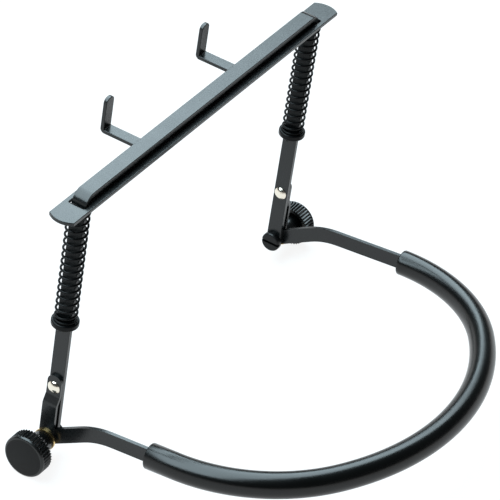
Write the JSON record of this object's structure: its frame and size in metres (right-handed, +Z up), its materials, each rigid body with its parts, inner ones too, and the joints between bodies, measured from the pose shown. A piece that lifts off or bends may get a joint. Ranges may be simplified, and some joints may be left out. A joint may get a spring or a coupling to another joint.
{
  "type": "harmonica neck holder",
  "caption": "Neck-worn harmonica holder: U-shaped strip frame with a sprung jaw plate, hinged on thumb knobs to a horseshoe neckband in a vinyl sleeve.",
  "frame": {"origin": "bottom centre of the box round the whole holder, level with the lowest point of the thumb knobs", "axes": "+X along the clamp bar to the wearer's left, -Y towards the wearer's neck, +Z up the arms"},
  "size_m": [0.194, 0.1478, 0.1252],
  "materials": {
    "frame_enamel": "satin black baked enamel on steel strip",
    "spring_steel": "blackened spring steel",
    "black_screw": "black oxide steel",
    "nickel": "bright nickel plate",
    "brass": "plain turned brass",
    "knob_plastic": "moulded, satin",
    "vinyl": "glossy extruded vinyl tube"
  },
  "bodies": {
    "neckband": {"neckband": "frame_enamel", "neck_sleeve": "vinyl"},
    "arms": {"clamp_frame": "frame_enamel", "spring_left": "spring_steel", "spring_right": "spring_steel", "spring_cup_left": "spring_steel", "spring_cup_right": "spring_steel", "cup_pin_left": "spring_steel", "cup_pin_right": "spring_steel", "clevis_strap_left": "frame_enamel", "clevis_strap_right": "frame_enamel", "strap_rivet_left": "nickel", "strap_rivet_right": "nickel", "pivot_bolt_left": "black_screw", "pivot_bolt_right": "black_screw", "brass_washer_left": "brass", "brass_washer_right": "brass"},
    "jaw": {"jaw_plate": "frame_enamel", "back_stop_left": "frame_enamel", "back_stop_right": "frame_enamel"},
    "knob_left": {"knob_left": "knob_plastic", "knob_insert_left": "brass"},
    "knob_right": {"knob_right": "knob_plastic", "knob_insert_right": "brass"}
  },
  "joints": [
    {"name": "arm_tilt", "type": "hinge", "parent": "neckband", "child": "arms", "pos_m": [0, 0.05293, 0.0085], "axis": [1, 0, 0], "range_deg": [-80, 37]},
    {"name": "jaw_slide", "type": "slide", "parent": "arms", "child": "jaw", "axis": [0, 0, -1], "range_m": [0, 0.026], "stiffness_N_per_m": 1560, "springref_m": -0.005, "deforming": ["spring_left", "spring_right"]},
    {"name": "knob_left_turn", "type": "hinge", "parent": "arms", "child": "knob_left", "pos_m": [-0.09, 0.05293, 0.0085], "axis": [1, 0, 0], "continuous": true},
    {"name": "knob_right_turn", "type": "hinge", "parent": "arms", "child": "knob_right", "pos_m": [0.09, 0.05293, 0.0085], "axis": [1, 0, 0], "continuous": true}
  ]
}
